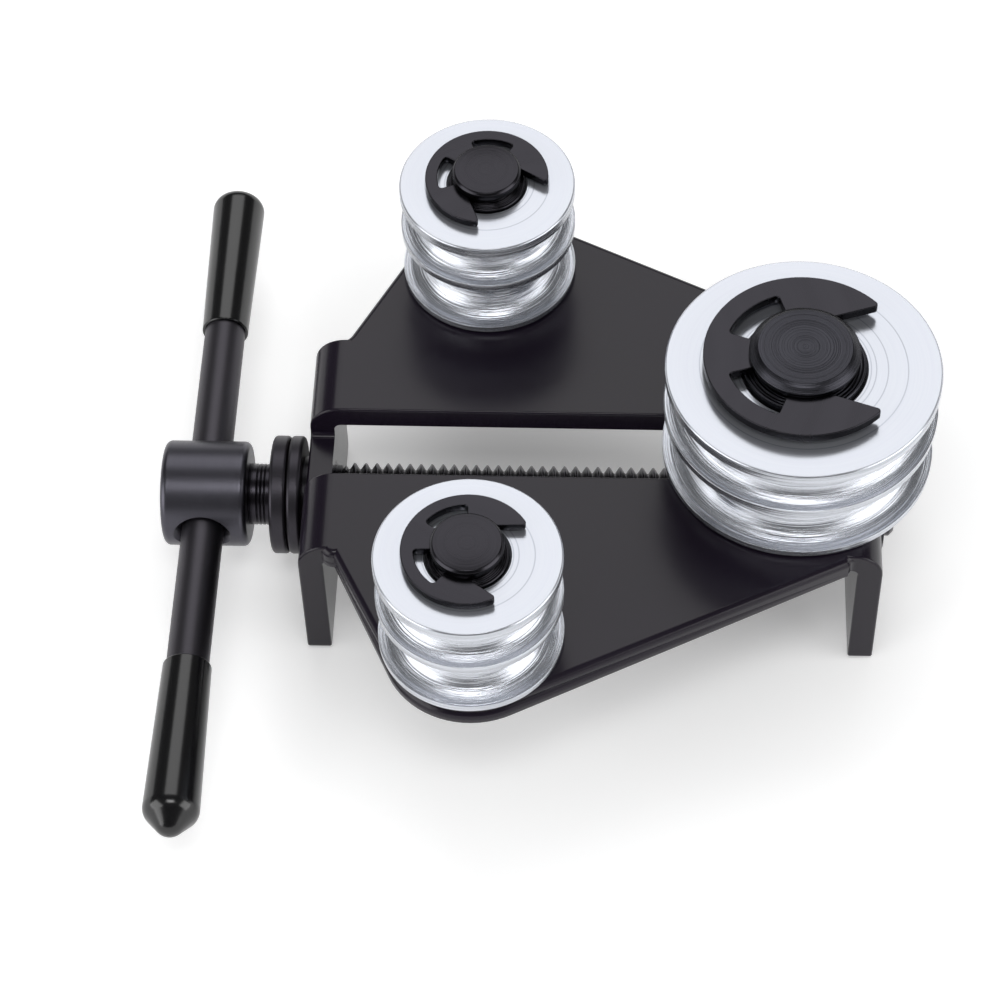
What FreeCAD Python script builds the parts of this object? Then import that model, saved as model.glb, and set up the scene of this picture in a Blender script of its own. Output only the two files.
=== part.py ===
import FreeCAD, Part
import math
import os
import Sketcher
from FreeCAD import Vector, Rotation, Placement

doc = FreeCAD.newDocument("PipeBender")

# Driving sizes, millimetres and degrees
SIZES = {
    # plate, bent down at both ends
    "plate_length": 80.7,
    "plate_thick": 3.5,
    "plate_top": 25.0,
    "flange_width": 37.0,
    "bend_radius": 1.0,
    "ear_radius": 12.2,
    "waist_left": 4.74,
    "waist_right": 4.9,
    "waist_step": 1.02,
    "waist_fillet_left": 2.0,
    "slot_width": 11.0,
    "slot_drop": 5.8,
    "slot_corner": 0.8,
    "plate_edge": 0.35,
    "bead_step": 0.6,
    "bead_round": 1.2,
    "bead_foot": 0.7,
    "rim_drop": 1.2,
    "rim_round": 1.05,
    "foot_corner": 1.0,
    # where the rollers stand
    "roller_span": 64.6,
    "fixed_offset": 15.55,
    "rest_gap": 0.24,
    "roller_lift": 0.25,
    # grooved rollers
    "roller_radius": 12.5,
    "forming_radius": 18.78,
    "top_rim": 1.65,
    "small_groove": 3.0,
    "ridge": 1.2,
    "large_groove": 4.05,
    "bottom_rim": 1.2,
    "rim_chamfer": 0.2,
    "roller_play": 0.05,
    # shims under the rollers
    "shim_thick": 0.2,
    "fixed_shim_radius": 9.5,
    "forming_shim_radius": 14.0,
    # fixed pins and their nuts
    "pin_radius": 5.43,
    "pin_cap_radius": 4.85,
    "pin_cap_chamfer": 0.35,
    "pin_top": 46.4,
    "pin_groove_radius": 3.9,
    "stud_radius": 4.0,
    "stud_reach": 14.0,
    "stud_clearance": 0.1,
    "nut_across": 13.0,
    "nut_height": 6.5,
    "nut_chamfer": 0.6,
    # forming roller's pin
    "forming_pin_radius": 8.4,
    "forming_cap_radius": 7.54,
    "forming_face_radius": 6.37,
    "forming_cap_drop": 0.96,
    "forming_pin_top": 47.63,
    "forming_groove_radius": 6.0,
    "forming_stud_radius": 5.0,
    # spring clips
    "clip_radius": 8.73,
    "clip_thick": 1.2,
    "clip_gap": 0.35,
    "clip_play": 0.05,
    "window_radius": 7.0,
    "window_start": 109.0,
    "window_end": 161.0,
    "mouth_root": 4.55,
    "mouth_rise": 19.0,
    "clip_corner": 0.5,
    "front_clip_turn": -17.0,
    "rear_clip_turn": -50.5,
    "forming_clip_radius": 13.7,
    "forming_clip_thick": 1.4,
    "forming_window_radius": 10.8,
    "forming_mouth_root": 6.45,
    "forming_clip_turn": -0.7,
    # carriage under the plate
    "block_length": 16.0,
    "block_width": 20.0,
    "block_shoulder": 4.0,
    "block_waist": 14.4,
    "block_bottom": 5.4,
    "block_clearance": 0.1,
    "tongue_clearance": 0.1,
    "block_chamfer": 1.4,
    "slide_lift": 0.02,
    "thread_clearance": 0.05,
    # screw and what it carries
    "screw_height": 12.0,
    "thread_radius": 4.7625,
    "thread_chamfer": 0.6,
    "neck_radius": 4.4,
    "neck_groove": 0.12,
    "neck_pitch": 0.55,
    "neck_line": 0.2,
    "neck_length": 3.4,
    "journal_reach": 2.7,
    "journal_chamfer": 0.6,
    "journal_clearance": 0.05,
    "spigot_radius": 3.5,
    "spigot_length": 2.4,
    "head_radius": 7.55,
    "head_length": 12.2,
    "head_round": 0.9,
    "cross_offset": 6.35,
    "countersink": 1.1,
    "collar_radius": 8.5,
    "collar_thick": 2.4,
    "washer_thick": 2.02,
    "washer_gap": 0.05,
    "disc_round": 0.55,
    "bush_radius": 5.0,
    "bush_rim_radius": 5.6,
    "bush_rim": 0.88,
    "screw_clip_radius": 6.5,
    "screw_clip_thick": 1.1,
    "screw_clip_groove": 3.6,
    "screw_window_radius": 5.45,
    "screw_mouth_root": 3.9,
    # sliding bar and its grips
    "bar_radius": 3.0,
    "bar_clearance": 0.05,
    "bar_length": 108.0,
    "bar_chamfer": 0.5,
    "grip_radius": 3.93,
    "grip_mouth_radius": 3.43,
    "grip_edge": 0.25,
    "front_grip_length": 22.86,
    "front_bar_in_dome": 1.29,
    "front_dome_side": 2.4,
    "front_dome_slope": 42.5,
    "front_dome_nose": 2.33,
    "rear_grip_length": 24.0,
    "rear_bar_in_dome": 0.15,
    "rear_dome_side": 2.05,
    "rear_dome_slope": 64.0,
    "rear_dome_nose": 0.7,
}

sheet = doc.addObject("Spreadsheet::Sheet", "Sizes")
for row, (word, number) in enumerate(SIZES.items(), start=1):
    sheet.set("A%d" % row, word)
    sheet.set("B%d" % row, str(number))
    sheet.setAlias("B%d" % row, word)
doc.recompute()


# A size knows its cell formula and its present number
class Size:
    def __init__(self, text, number):
        self.text = text
        self.number = number

    def joined(self, other, sign, number, turned=False):
        other = sized(other)
        first, second = (other, self) if turned else (self, other)
        return Size("(%s %s %s)" % (first.text, sign, second.text), number)

    def __add__(self, other):
        return self.joined(other, "+", self.number + sized(other).number)

    def __radd__(self, other):
        return self + other

    def __sub__(self, other):
        return self.joined(other, "-", self.number - sized(other).number)

    def __rsub__(self, other):
        return self.joined(other, "-", sized(other).number - self.number, turned=True)

    def __mul__(self, other):
        return self.joined(other, "*", self.number * sized(other).number)

    def __rmul__(self, other):
        return self * other

    def __truediv__(self, other):
        return self.joined(other, "/", self.number / sized(other).number)

    def __neg__(self):
        return Size("(-1 * %s)" % self.text, -self.number)


def sized(value):
    if isinstance(value, Size):
        return value
    return Size("%.6g" % value, float(value))


def size(word):
    return Size("Sizes.%s" % word, float(sheet.get(word)))


def root(value):
    return Size("sqrt(%s)" % value.text, math.sqrt(value.number))


def sine(angle):
    return Size("sin(%s * 1 deg)" % angle.text, math.sin(math.radians(angle.number)))


def cosine(angle):
    return Size("cos(%s * 1 deg)" % angle.text, math.cos(math.radians(angle.number)))


def bind(thing, path, value):
    value = sized(value)
    thing.setExpression(path, value.text)
    return value.number


# A body of its own for each turned, pressed or milled piece
def new_body(name):
    body = doc.addObject("PartDesign::Body", name)
    body.Label = name
    return body


def plane_of(body, role):
    for feature in body.Origin.OriginFeatures:
        if feature.Role == role:
            return feature


def new_sketch(body, name, role, lift=None):
    sketch = body.newObject("Sketcher::SketchObject", name)
    sketch.AttachmentSupport = [(plane_of(body, role), "")]
    sketch.MapMode = "FlatFace"
    if lift is not None:
        number = bind(sketch, "AttachmentOffset.Base.z", lift)
        sketch.AttachmentOffset = Placement(Vector(0, 0, number), Rotation())
    return sketch


def pin_point(sketch, edge, end, x, y):
    for kind, axis, value in (("DistanceX", -2, sized(x)), ("DistanceY", -1, sized(y))):
        if value.text == "0":
            sketch.addConstraint(Sketcher.Constraint("PointOnObject", edge, end, axis))
        else:
            index = sketch.addConstraint(Sketcher.Constraint(kind, -1, 1, edge, end, value.number))
            bind(sketch, "Constraints[%d]" % index, value)


# Closed outline through corners (x, y); a third entry bends the side that
# follows into an arc of that radius, left-turning if positive, right-turning
# if negative
def outline(sketch, corners):
    first = sketch.GeometryCount
    count = len(corners)
    for number, corner in enumerate(corners):
        after = corners[(number + 1) % count]
        start = Vector(sized(corner[0]).number, sized(corner[1]).number, 0)
        end = Vector(sized(after[0]).number, sized(after[1]).number, 0)
        if len(corner) == 2:
            sketch.addGeometry(Part.LineSegment(start, end))
            continue
        radius = sized(corner[2])
        chord = end - start
        half = chord.Length / 2
        rise = math.sqrt(max(radius.number ** 2 - half ** 2, 0.0))
        side = Vector(-chord.y, chord.x, 0) / chord.Length
        turn = 1 if radius.number > 0 else -1
        middle = (start + end) / 2
        centre = middle + side * (turn * rise)
        crown = centre - side * (turn * abs(radius.number))
        sketch.addGeometry(Part.Arc(start, crown, end))
    for number, corner in enumerate(corners):
        edge = first + number
        before = first + (number - 1) % count
        arc = len(corner) == 3
        arc_before = len(corners[(number - 1) % count]) == 3
        turned = arc and sized(corner[2]).number < 0
        turned_before = arc_before and sized(corners[(number - 1) % count][2]).number < 0
        head = 2 if turned else 1
        tail = 1 if turned_before else 2
        sketch.addConstraint(Sketcher.Constraint("Coincident", before, tail, edge, head))
        pin_point(sketch, edge, head, corner[0], corner[1])
    for number, corner in enumerate(corners):
        if len(corner) == 2:
            continue
        radius = sized(corner[2])
        edge = first + number
        after = corners[(number + 1) % count]
        half = abs(sized(after[1]).number - sized(corner[1]).number) / 2
        if abs(half - abs(radius.number)) < 1e-6:
            # A half circle has its centre in line with its ends
            index = sketch.addConstraint(
                Sketcher.Constraint("DistanceX", -1, 1, edge, 3, sized(corner[0]).number))
            bind(sketch, "Constraints[%d]" % index, corner[0])
            continue
        index = sketch.addConstraint(Sketcher.Constraint("Radius", edge, abs(radius.number)))
        bind(sketch, "Constraints[%d]" % index, radius if radius.number > 0 else -radius)


def circle(sketch, x, y, radius):
    place = Vector(sized(x).number, sized(y).number, 0)
    edge = sketch.addGeometry(Part.Circle(place, Vector(0, 0, 1), sized(radius).number))
    pin_point(sketch, edge, 3, x, y)
    index = sketch.addConstraint(Sketcher.Constraint("Radius", edge, sized(radius).number))
    bind(sketch, "Constraints[%d]" % index, radius)


def pad(body, name, sketch, length, middle=False, back=False):
    feature = body.newObject("PartDesign::Pad", name)
    feature.Profile = sketch
    feature.Length = bind(feature, "Length", length)
    feature.Midplane = middle
    feature.Reversed = back
    doc.recompute()
    return feature


def pocket(body, name, sketch, length, middle=False, back=False):
    before = body.Shape.Volume
    feature = body.newObject("PartDesign::Pocket", name)
    feature.Profile = sketch
    feature.Length = bind(feature, "Length", length)
    feature.Midplane = middle
    feature.Reversed = back
    doc.recompute()
    assert body.Shape.Volume < before - 1e-6, "%s cuts nothing" % name
    return feature


def turned(body, name, sketch, axis, groove=False):
    before = body.Shape.Volume if groove else 0
    feature = body.newObject("PartDesign::Groove" if groove else "PartDesign::Revolution", name)
    feature.Profile = sketch
    feature.ReferenceAxis = (sketch, [axis])
    feature.Angle = 360
    doc.recompute()
    assert not groove or body.Shape.Volume < before - 1e-6, "%s cuts nothing" % name
    return feature


# Edges are picked where they lie, so a changed size finds them again
def edges_where(shape, test):
    names = []
    for number, edge in enumerate(shape.Edges, start=1):
        if not edge.Degenerated and test(edge):
            names.append("Edge%d" % number)
    return names


def dress(body, name, kind, base, test, amount):
    names = edges_where(base.Shape, test)
    feature = body.newObject("PartDesign::" + kind, name)
    feature.Base = (base, names)
    path = "Radius" if kind == "Fillet" else "Size"
    setattr(feature, path, bind(feature, path, amount))
    doc.recompute()
    return feature


def put(body, x=0, y=0, z=0, rotation=None):
    if rotation is not None:
        body.Placement = Placement(Vector(0, 0, 0), rotation)
    numbers = [bind(body, "Placement.Base." + name, value) for name, value in zip("xyz", (x, y, z))]
    body.Placement = Placement(Vector(*numbers), body.Placement.Rotation)


# Shared places
plate_top = size("plate_top")
half_length = size("plate_length") / 2
thick = size("plate_thick")
inner_face = half_length - thick
fixed_x = -size("fixed_offset")
forming_x = inner_face - size("block_length") / 2 - size("rest_gap")
half_span = size("roller_span") / 2
screw_z = size("screw_height")
roller_bottom = plate_top + size("roller_lift")
roller_height = (size("top_rim") + 2 * size("small_groove") + size("ridge")
                 + 2 * size("large_groove") + size("bottom_rim"))
roller_top = roller_bottom + roller_height
clip_bottom = roller_top + size("clip_gap")
clip_top = clip_bottom + size("clip_thick")


# Section of the bent strip, seen from the front
def bent_profile(body, name):
    bend_in = size("bend_radius")
    bend_out = bend_in + thick
    under = plate_top - thick
    side = new_sketch(body, name, "XZ_Plane")
    outline(side, [
        (-half_length, 0),
        (-inner_face, 0),
        (-inner_face, under - bend_in, -bend_in),
        (-(inner_face - bend_in), under),
        (inner_face - bend_in, under, -bend_in),
        (inner_face, under - bend_in),
        (inner_face, 0),
        (half_length, 0),
        (half_length, plate_top - bend_out, bend_out),
        (half_length - bend_out, plate_top),
        (-(half_length - bend_out), plate_top, bend_out),
        (-half_length, plate_top - bend_out),
    ])
    return side


# Plan outline of the flat plate: tangents from the waists to the round ears
def ear_outline(body, name, ear, level):
    half_width = size("flange_width") / 2
    left_x = -(half_length - size("waist_left"))
    right_x = half_length - size("waist_right")
    step = size("waist_step")
    right_y = half_width + step

    def touch(x, y, sign):
        dx = x - fixed_x
        dy = y - half_span
        square = dx * dx + dy * dy
        reach = root(square - ear * ear)
        tx = fixed_x + (dx * ear * ear + sign * dy * ear * reach) / square
        ty = half_span + (dy * ear * ear - sign * dx * ear * reach) / square
        return tx, ty, reach

    left = touch(left_x, half_width, 1)
    right = touch(right_x, right_y, -1)
    # The left waist is rounded, tangent to the strip and to the ear's flank
    along = (left[0] - left_x) / left[2]
    out = (left[1] - half_width) / left[2]
    round_in = size("waist_fillet_left")
    run = round_in * (1 - along) / out
    start = left_x - run
    end = (left_x + run * along, half_width + run * out)
    far = right_x + step
    plan = new_sketch(body, name, "XY_Plane", lift=level)
    outline(plan, [
        (start - 0.3, -half_width),
        (start, -half_width, round_in),
        (end[0], -end[1]),
        (left[0], -left[1], ear),
        (right[0], -right[1]),
        (right_x, -right_y, -step),
        (far, -half_width),
        (far + 0.2, -half_width),
        (far + 0.2, half_width),
        (far, half_width, -step),
        (right_x, right_y),
        (right[0], right[1], ear),
        (left[0], left[1]),
        (end[0], end[1], -round_in),
        (start, half_width),
        (start - 0.3, half_width),
    ])
    return plan


# Edges of a flat face at one level, without the straight ones across the strip
def around(level):
    def test(edge):
        box = edge.BoundBox
        if abs(box.ZMin - level) > 1e-3 or abs(box.ZMax - level) > 1e-3:
            return False
        if edge.Curve.TypeId == "Part::GeomLine":
            return abs(edge.Vertexes[0].X - edge.Vertexes[-1].X) > 1e-3
        return edge.Curve.TypeId == "Part::GeomCircle" and not edge.isClosed()
    return test


# Ears: two stacked slabs with rolled edges, trimmed to the bends
def ears():
    body = new_body("ears")
    under = plate_top - thick
    ear = size("ear_radius")
    shelf = plate_top - size("rim_drop")
    low = ear_outline(body, "lower_outline", ear, under)
    base = pad(body, "lower_slab", low, shelf - under)
    base = dress(body, "lower_round", "Fillet", base, around(shelf.number), size("bead_round"))
    base = dress(body, "lower_foot", "Fillet", base, around(under.number), size("bead_foot"))
    high = ear_outline(body, "upper_outline", ear - size("bead_step"), under + 0.5)
    base = pad(body, "upper_slab", high, thick - 0.5)
    dress(body, "upper_round", "Fillet", base, around(plate_top.number), size("rim_round"))
    form = new_body("bend_form")
    pad(form, "form_pad", bent_profile(form, "form_profile"), 2 * (half_span + ear + 5), middle=True)
    trim = body.newObject("PartDesign::Boolean", "trimmed_to_bends")
    trim.Type = "Common"
    trim.addObject(form)
    doc.recompute()
    return body


# Base plate: the bent strip with its edges broken, the ears, slot and holes
def base_plate():
    body = new_body("base_plate")
    half_width = size("flange_width") / 2
    base = pad(body, "bent_strip", bent_profile(body, "side_profile"), size("flange_width"), middle=True)

    def along_x(test_y, test_z):
        def test(edge):
            if edge.Curve.TypeId != "Part::GeomLine":
                return False
            a, b = edge.Vertexes[0].Point, edge.Vertexes[-1].Point
            flat = abs(a.y - b.y) < 1e-4 and abs(a.z - b.z) < 1e-4
            return flat and abs(abs(a.y) - test_y) < 1e-3 and abs(a.z - test_z) < 1e-3
        return test

    base = dress(body, "foot_corners", "Fillet", base, along_x(half_width.number, 0), size("foot_corner"))
    under = plate_top - thick
    base = dress(body, "outer_edges", "Fillet", base, along_x(half_width.number, plate_top.number), size("plate_edge"))
    dress(body, "inner_edges", "Fillet", base, along_x(half_width.number, under.number), size("plate_edge"))
    join = body.newObject("PartDesign::Boolean", "with_ears")
    join.Type = "Fuse"
    join.addObject(ears())
    doc.recompute()

    # Slot over both bends and a little way down each flange
    notch = new_sketch(body, "slot_section", "YZ_Plane")
    slot = size("slot_width") / 2
    floor = plate_top - size("slot_drop")
    outline(notch, [
        (-slot, floor),
        (slot, floor),
        (slot, plate_top + 1),
        (-slot, plate_top + 1),
    ])
    base = pocket(body, "slot_cut", notch, 2 * half_length + 10, middle=True)
    base = dress(body, "slot_ends", "Fillet", base, along_x(slot.number, floor.number), size("slot_corner"))
    dress(body, "slot_edges", "Fillet", base, along_x(slot.number, plate_top.number), size("plate_edge"))

    # Pin holes through the ears
    hole = size("stud_radius") + size("stud_clearance")
    holes = new_sketch(body, "pin_holes", "XY_Plane", lift=plate_top)
    circle(holes, fixed_x, half_span, hole)
    circle(holes, fixed_x, -half_span, hole)
    pocket(body, "pin_holes_cut", holes, thick + 1)

    # Bush hole in the left flange, journal hole in the right one
    left = new_sketch(body, "bush_hole", "YZ_Plane", lift=-half_length - 1)
    circle(left, 0, screw_z, size("bush_radius"))
    pocket(body, "bush_hole_cut", left, thick + 3, back=True)
    right = new_sketch(body, "journal_hole", "YZ_Plane", lift=inner_face - 1)
    circle(right, 0, screw_z, size("neck_radius") + size("journal_clearance"))
    pocket(body, "journal_hole_cut", right, thick + 3, back=True)
    return body


# Grooved roller: a bore, two half-round grooves and a rim at each side
def roller(name, radius, bore):
    body = new_body(name)
    small = size("small_groove")
    large = size("large_groove")
    chamfer = size("rim_chamfer")
    top = roller_height
    small_top = top - size("top_rim")
    small_bottom = small_top - 2 * small
    large_top = small_bottom - size("ridge")
    large_bottom = large_top - 2 * large
    profile = new_sketch(body, name + "_profile", "XZ_Plane")
    outline(profile, [
        (bore, 0),
        (radius - chamfer, 0),
        (radius, chamfer),
        (radius, large_bottom, -large),
        (radius, large_top),
        (radius, small_bottom, -small),
        (radius, small_top),
        (radius, top - chamfer),
        (radius - chamfer, top),
        (bore, top),
    ])
    turned(body, name + "_turned", profile, "V_Axis")
    return body


# Shouldered pin: stud, running shoulder, clip groove and chamfered cap
def roller_pin(name, shoulder, stud, foot, seat, groove_floor, groove_roof, groove, cap, face, drop, top):
    body = new_body(name)
    profile = new_sketch(body, name + "_profile", "XZ_Plane")
    outline(profile, [
        (0, foot),
        (stud - 0.5, foot),
        (stud, foot + 0.5),
        (stud, seat),
        (shoulder, seat),
        (shoulder, groove_floor),
        (cap, groove_floor),
        (cap, top - drop),
        (face, top),
        (0, top),
    ])
    turned(body, name + "_turned", profile, "V_Axis")
    slot = new_sketch(body, name + "_groove", "XZ_Plane")
    outline(slot, [
        (groove, groove_floor),
        (cap + 2, groove_floor),
        (cap + 2, groove_roof),
        (groove, groove_roof),
    ])
    turned(body, name + "_groove_cut", slot, "V_Axis", groove=True)
    return body


# Spring clip: a ring with two windows and a mouth that widens outward
def spring_clip(name, radius, bore, window, mouth, thickness):
    body = new_body(name)
    ring = new_sketch(body, name + "_ring", "XY_Plane")
    circle(ring, 0, 0, radius)
    circle(ring, 0, 0, bore)
    pad(body, name + "_blank", ring, thickness)

    near = size("window_start")
    far = size("window_end")
    inside = bore * 0.7
    windows = new_sketch(body, name + "_windows", "XY_Plane")
    for side in (1, -1):
        outline(windows, [
            (inside * cosine(near), side * inside * sine(near)),
            (window * cosine(near), side * window * sine(near), side * window),
            (window * cosine(far), side * window * sine(far)),
            (inside * cosine(far), side * inside * sine(far)),
        ])
    pocket(body, name + "_windows_cut", windows, thickness + 1, back=True)

    rise = size("mouth_rise")
    wide = mouth + radius * 1.5 * sine(rise) / cosine(rise)
    start = root(bore * bore * 0.25)
    opening = new_sketch(body, name + "_mouth", "XY_Plane")
    outline(opening, [
        (0, -(mouth - start * sine(rise) / cosine(rise))),
        (radius * 1.5, -wide + start * sine(rise) / cosine(rise)),
        (radius * 1.5, wide - start * sine(rise) / cosine(rise)),
        (0, mouth - start * sine(rise) / cosine(rise)),
    ])
    base = pocket(body, name + "_mouth_cut", opening, thickness + 1, back=True)

    def corner(edge):
        a, b = edge.Vertexes[0].Point, edge.Vertexes[-1].Point
        upright = abs(a.x - b.x) < 1e-4 and abs(a.y - b.y) < 1e-4 and abs(a.z - b.z) > 1e-3
        out = math.hypot(a.x, a.y)
        tip = abs(out - radius.number) < 1e-3 and a.x > 0
        pane = abs(out - window.number) < 1e-3 and a.x < 0
        return upright and edge.Curve.TypeId == "Part::GeomLine" and (tip or pane)
    dress(body, name + "_corners", "Fillet", base, corner, size("clip_corner"))
    return body


def washer(name, outer, inner, thickness):
    body = new_body(name)
    ring = new_sketch(body, name + "_ring", "XY_Plane")
    circle(ring, 0, 0, outer)
    circle(ring, 0, 0, inner)
    pad(body, name + "_pad", ring, thickness)
    return body


# Hexagon nuts under the ears, one drawn and the other mirrored
def pin_nuts():
    body = new_body("nut")
    across = size("nut_across")
    high = size("nut_height")
    corner = across / root(sized(3))
    hexagon = new_sketch(body, "nut_hexagon", "XY_Plane")
    points = []
    for step in range(6):
        angle = sized(60 * step)
        points.append((corner * cosine(angle), corner * sine(angle)))
    points[0] = (corner, 0)
    points[3] = (-corner, 0)
    outline(hexagon, points)
    pad(body, "nut_pad", hexagon, high)
    hole = new_sketch(body, "nut_hole", "XY_Plane")
    circle(hole, 0, 0, size("stud_radius"))
    pocket(body, "nut_bore", hole, high + 1, back=True)
    bevel = new_sketch(body, "nut_bevel", "XZ_Plane")
    chamfer = size("nut_chamfer")
    outline(bevel, [
        (across / 2, 0),
        (corner + 1, 0),
        (corner + 1, (corner + 1 - across / 2) * chamfer / (corner - across / 2)),
    ])
    turned(body, "nut_bevel_cut", bevel, "V_Axis", groove=True)
    put(body, fixed_x, half_span, plate_top - thick - high)
    other = doc.addObject("Part::Mirroring", "nut_mirror")
    other.Source = body
    other.Normal = Vector(0, 1, 0)
    both = doc.addObject("Part::Compound", "pin_nuts")
    both.Label = "pin_nuts"
    both.Links = [body, other]
    return both


# Carriage: a T-section block, bored for the screw and the roller's pin
def carriage_block():
    body = new_body("carriage_block")
    long = size("block_length")
    half = size("block_width") / 2
    waist = size("block_waist") / 2
    low = size("block_bottom")
    shoulder = plate_top - thick - size("block_clearance")
    ledge = shoulder - size("block_shoulder")
    tongue = size("slot_width") / 2 - size("tongue_clearance")
    top = plate_top + size("slide_lift")
    section = new_sketch(body, "block_section", "YZ_Plane")
    outline(section, [
        (-waist, low),
        (waist, low),
        (waist, ledge),
        (half, ledge),
        (half, shoulder),
        (tongue, shoulder),
        (tongue, top),
        (-tongue, top),
        (-tongue, shoulder),
        (-half, shoulder),
        (-half, ledge),
        (-waist, ledge),
    ])
    pad(body, "block_pad", section, long, middle=True)
    end = new_sketch(body, "block_shoulders", "XZ_Plane")
    cut = size("block_chamfer")
    for side in (1, -1):
        outline(end, [
            (side * (long / 2 - cut), top + 1),
            (side * (long / 2 - cut), shoulder),
            (side * long / 2, shoulder - cut),
            (side * (long / 2 + 1), shoulder - cut),
            (side * (long / 2 + 1), top + 1),
        ])
    pocket(body, "block_ends", end, 2 * half + 2, middle=True)

    bore = new_sketch(body, "block_bore", "YZ_Plane")
    circle(bore, 0, screw_z, size("thread_radius") + size("thread_clearance"))
    pocket(body, "block_bore_cut", bore, long + 2, middle=True)
    socket = new_sketch(body, "stud_socket", "XY_Plane", lift=top)
    circle(socket, 0, 0, size("forming_stud_radius"))
    deep = top - screw_z - size("thread_radius") - size("thread_clearance") - 0.8
    pocket(body, "stud_socket_cut", socket, deep)

    def lower_side(edge):
        box = edge.BoundBox
        return abs(box.ZMin - low.number) < 1e-3 and abs(box.ZMax - low.number) < 1e-3
    dress(body, "block_edges", "Chamfer", body.Tip, lower_side, 0.5)
    return body


# Screw along X, its origin on the axis at the left flange's outer face
collar_left = size("bush_rim") + size("washer_thick") + size("washer_gap") + size("collar_thick")
neck_left = collar_left + size("neck_length")
screw_right = 2 * half_length + size("journal_reach")
neck = size("neck_radius")


def lead_screw():
    body = new_body("lead_screw")
    thread = size("thread_radius")
    spigot = size("spigot_radius")
    bevel = size("thread_chamfer")
    start = thick + 1.0
    end = 2 * half_length - thick - 0.15
    clip_face = 2 * half_length + 0.05
    thickness = size("screw_clip_thick")
    line = size("neck_line")
    deep = size("neck_groove")
    step = size("neck_pitch")
    corners = [
        (-neck_left - size("spigot_length"), 0),
        (-neck_left - size("spigot_length"), spigot),
        (-neck_left, spigot),
        (-neck_left, neck),
    ]
    for number in (1, 2, 3):
        place = -neck_left + step * number + 0.7
        corners += [
            (place - line / 2, neck),
            (place, neck - deep),
            (place + line / 2, neck),
        ]
    corners += [
        (start, neck),
        (start, thread - bevel / 2),
        (start + bevel / 2, thread),
        (end - bevel, thread),
        (end, neck),
        (clip_face, neck),
        (clip_face, size("screw_clip_groove")),
        (clip_face + thickness + 0.05, size("screw_clip_groove")),
        (clip_face + thickness + 0.05, neck),
        (screw_right - size("journal_chamfer"), neck),
        (screw_right, neck - size("journal_chamfer")),
        (screw_right, 0),
    ]
    profile = new_sketch(body, "screw_profile", "XZ_Plane")
    outline(profile, list(reversed(corners)))
    turned(body, "screw_turned", profile, "H_Axis")
    return body


# Head: turned, rounded at both ends, with a countersunk cross hole
def screw_head():
    body = new_body("screw_head")
    long = size("head_length")
    radius = size("head_radius")
    curve = size("head_round")
    profile = new_sketch(body, "head_profile", "XZ_Plane")
    outline(profile, [
        (0, 0),
        (long - size("spigot_length") - 0.1, 0),
        (long - size("spigot_length") - 0.1, size("spigot_radius")),
        (long, size("spigot_radius")),
        (long, radius - curve, curve),
        (long - curve, radius),
        (curve, radius, curve),
        (0, radius - curve),
    ])
    turned(body, "head_turned", profile, "H_Axis")
    bore = size("bar_radius") + size("bar_clearance")
    sink = size("countersink")
    middle = size("head_length") - size("cross_offset")
    cross = new_sketch(body, "cross_section", "XY_Plane")
    outline(cross, [
        (middle, radius + 1),
        (middle, -radius - 1),
        (middle + bore + sink + 1, -radius - 1),
        (middle + bore, -radius + sink),
        (middle + bore, radius - sink),
        (middle + bore + sink + 1, radius + 1),
    ])
    axis = cross.addGeometry(Part.LineSegment(
        Vector(middle.number, -radius.number, 0), Vector(middle.number, radius.number, 0)), True)
    pin_point(cross, axis, 1, middle, -radius)
    pin_point(cross, axis, 2, middle, radius)
    turned(body, "cross_hole", cross, "Axis0", groove=True)
    return body


def disc(name, thickness, bore):
    body = new_body(name)
    radius = size("collar_radius")
    curve = size("disc_round")
    profile = new_sketch(body, name + "_profile", "XZ_Plane")
    outline(profile, [
        (0, bore),
        (thickness, bore),
        (thickness, radius - curve, curve),
        (thickness - curve, radius),
        (curve, radius, curve),
        (0, radius - curve),
    ])
    turned(body, name + "_turned", profile, "H_Axis")
    return body


def end_bush():
    body = new_body("end_bush")
    bore = neck + size("journal_clearance")
    profile = new_sketch(body, "bush_profile", "XZ_Plane")
    outline(profile, [
        (-size("bush_rim"), bore),
        (thick, bore),
        (thick, size("bush_radius")),
        (0, size("bush_radius")),
        (0, size("bush_rim_radius")),
        (-size("bush_rim"), size("bush_rim_radius")),
    ])
    turned(body, "bush_turned", profile, "H_Axis")
    return body


# Bar and grips along Y
def tommy_bar():
    body = new_body("tommy_bar")
    half = size("bar_length") / 2
    radius = size("bar_radius")
    bevel = size("bar_chamfer")
    profile = new_sketch(body, "bar_profile", "XY_Plane")
    outline(profile, [
        (0, -half),
        (radius - bevel, -half),
        (radius, -half + bevel),
        (radius, half - bevel),
        (radius - bevel, half),
        (0, half),
    ])
    turned(body, "bar_turned", profile, "V_Axis")
    return body


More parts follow.
